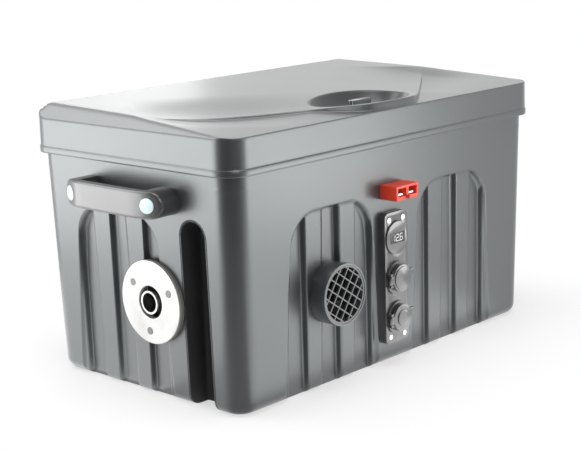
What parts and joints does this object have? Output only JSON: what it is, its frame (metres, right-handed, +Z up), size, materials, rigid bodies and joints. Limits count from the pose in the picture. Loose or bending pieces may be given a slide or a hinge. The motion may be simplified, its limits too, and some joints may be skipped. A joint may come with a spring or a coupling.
{
  "type": "portable battery-powered air heater",
  "caption": "Portable warm-air heater in a black lidded carry case with round air outlet, exhaust flange, socket panel, battery and fuel tank.",
  "frame": {"origin": "middle of the case's underside, on the ground", "axes": "+X along the front to the right as seen from the front, +Y from front to back, +Z up"},
  "size_m": [0.5644, 0.3364, 0.2965],
  "materials": {
    "case_plastic": "moulded black plastic with a soft sheen",
    "lid_plastic": "moulded black plastic with a soft sheen",
    "handle_plastic": "moulded black plastic",
    "cap_plastic": "pale blue moulded caps",
    "seal_rubber": "soft black rubber",
    "zinc_steel": "zinc plated steel",
    "bright_steel": "bright turned steel",
    "flange_metal": "bright pressed aluminium",
    "gasket_fibre": "grey fibre gasket",
    "grille_metal": "black coated wire lattice",
    "fitting_plastic": "black moulded plastic",
    "display_lens": "dark display window",
    "connector_red": "red moulded plastic",
    "contact_metal": "plated contacts",
    "heater_plastic": "heat proof black plastic",
    "cast_aluminium": "cast aluminium",
    "burner_steel": "heat stained steel",
    "motor_steel": "dark painted steel",
    "board_green": "green circuit board",
    "sheet_metal": "grey painted sheet steel",
    "tank_plastic": "natural white plastic",
    "tank_cap_plastic": "red moulded plastic",
    "filter_plastic": "pale filter body",
    "hose_rubber": "black fuel hose",
    "battery_plastic": "dark blue battery case",
    "strap_fabric": "black woven strap",
    "cable_rubber": "red insulated cable"
  },
  "bodies": {
    "case": {"case_body": "case_plastic", "hinge_case_leaf": "zinc_steel", "hinge_pin": "bright_steel", "lock_catch": "zinc_steel", "handle_left": "handle_plastic", "handle_right": "handle_plastic", "handle_caps": "cap_plastic", "handle_screws": "zinc_steel", "outlet_collar": "case_plastic", "outlet_duct": "heater_plastic", "socket_panel": "fitting_plastic", "panel_screws": "bright_steel", "voltmeter": "fitting_plastic", "voltmeter_display": "display_lens", "upper_socket": "fitting_plastic", "lower_socket": "fitting_plastic", "socket_nuts": "fitting_plastic", "connector_housing": "connector_red", "connector_contacts": "contact_metal", "exhaust_flange": "flange_metal", "flange_gasket": "gasket_fibre", "flange_screws": "bright_steel", "exhaust_pipe": "bright_steel", "heater_lower_casing": "heater_plastic", "heater_upper_casing": "heater_plastic", "heat_exchanger": "cast_aluminium", "burner": "burner_steel", "glow_plug": "bright_steel", "blower_motor": "motor_steel", "heater_board": "board_green", "heater_cradle": "sheet_metal", "partition": "sheet_metal", "fuel_tank": "tank_plastic", "tank_pickup": "bright_steel", "fuel_filter": "filter_plastic", "fuel_pump": "bright_steel", "fuel_clips": "seal_rubber", "fuel_hoses": "hose_rubber", "battery": "battery_plastic", "battery_terminals": "contact_metal", "battery_tray": "fitting_plastic", "battery_strap": "strap_fabric", "fuse_holder": "fitting_plastic", "power_cables": "cable_rubber", "intake_grille": "case_plastic", "control_unit": "fitting_plastic"},
    "lid": {"lid": "lid_plastic", "lid_seal": "seal_rubber", "hinge_lid_leaf": "zinc_steel"},
    "lock": {"lock_knob": "fitting_plastic", "lock_cam": "zinc_steel"},
    "grille": {"outlet_grille": "grille_metal"},
    "upper_cap": {"upper_socket_cap": "seal_rubber"},
    "lower_cap": {"lower_socket_cap": "seal_rubber"},
    "filler_cap": {"tank_cap": "tank_cap_plastic"},
    "fan": {"motor_shaft": "bright_steel", "hot_air_fan": "fitting_plastic", "combustion_fan": "fitting_plastic"},
    "knob": {"control_knob": "fitting_plastic"}
  },
  "joints": [
    {"name": "lid_hinge", "type": "hinge", "parent": "case", "child": "lid", "pos_m": [0, 0.162, 0.2375], "axis": [-1, 0, 0], "range_deg": [0, 100]},
    {"name": "lock_turn", "type": "hinge", "parent": "lid", "child": "lock", "pos_m": [0, -0.098, 0.25], "axis": [0, 0, -1], "range_deg": [0, 90]},
    {"name": "grille_turn", "type": "hinge", "parent": "case", "child": "grille", "pos_m": [-0.107, -0.16138, 0.102], "axis": [0, -1, 0], "continuous": true},
    {"name": "upper_cap_flip", "type": "hinge", "parent": "case", "child": "upper_cap", "pos_m": [-0.0275, -0.15971, 0.0984], "axis": [0, 0, -1], "range_deg": [0, 140]},
    {"name": "lower_cap_flip", "type": "hinge", "parent": "case", "child": "lower_cap", "pos_m": [-0.0275, -0.15971, 0.0539], "axis": [0, 0, -1], "range_deg": [0, 140]},
    {"name": "tank_cap_lift", "type": "slide", "parent": "case", "child": "filler_cap", "axis": [0, 0, 1], "range_m": [0, 0.05]},
    {"name": "fan_spin", "type": "hinge", "parent": "case", "child": "fan", "pos_m": [-0.107, 0.06, 0.102], "axis": [0, 1, 0], "continuous": true},
    {"name": "knob_turn", "type": "hinge", "parent": "case", "child": "knob", "pos_m": [-0.016, -0.004, 0.218], "axis": [0, 0, 1], "range_deg": [0, 270]}
  ]
}
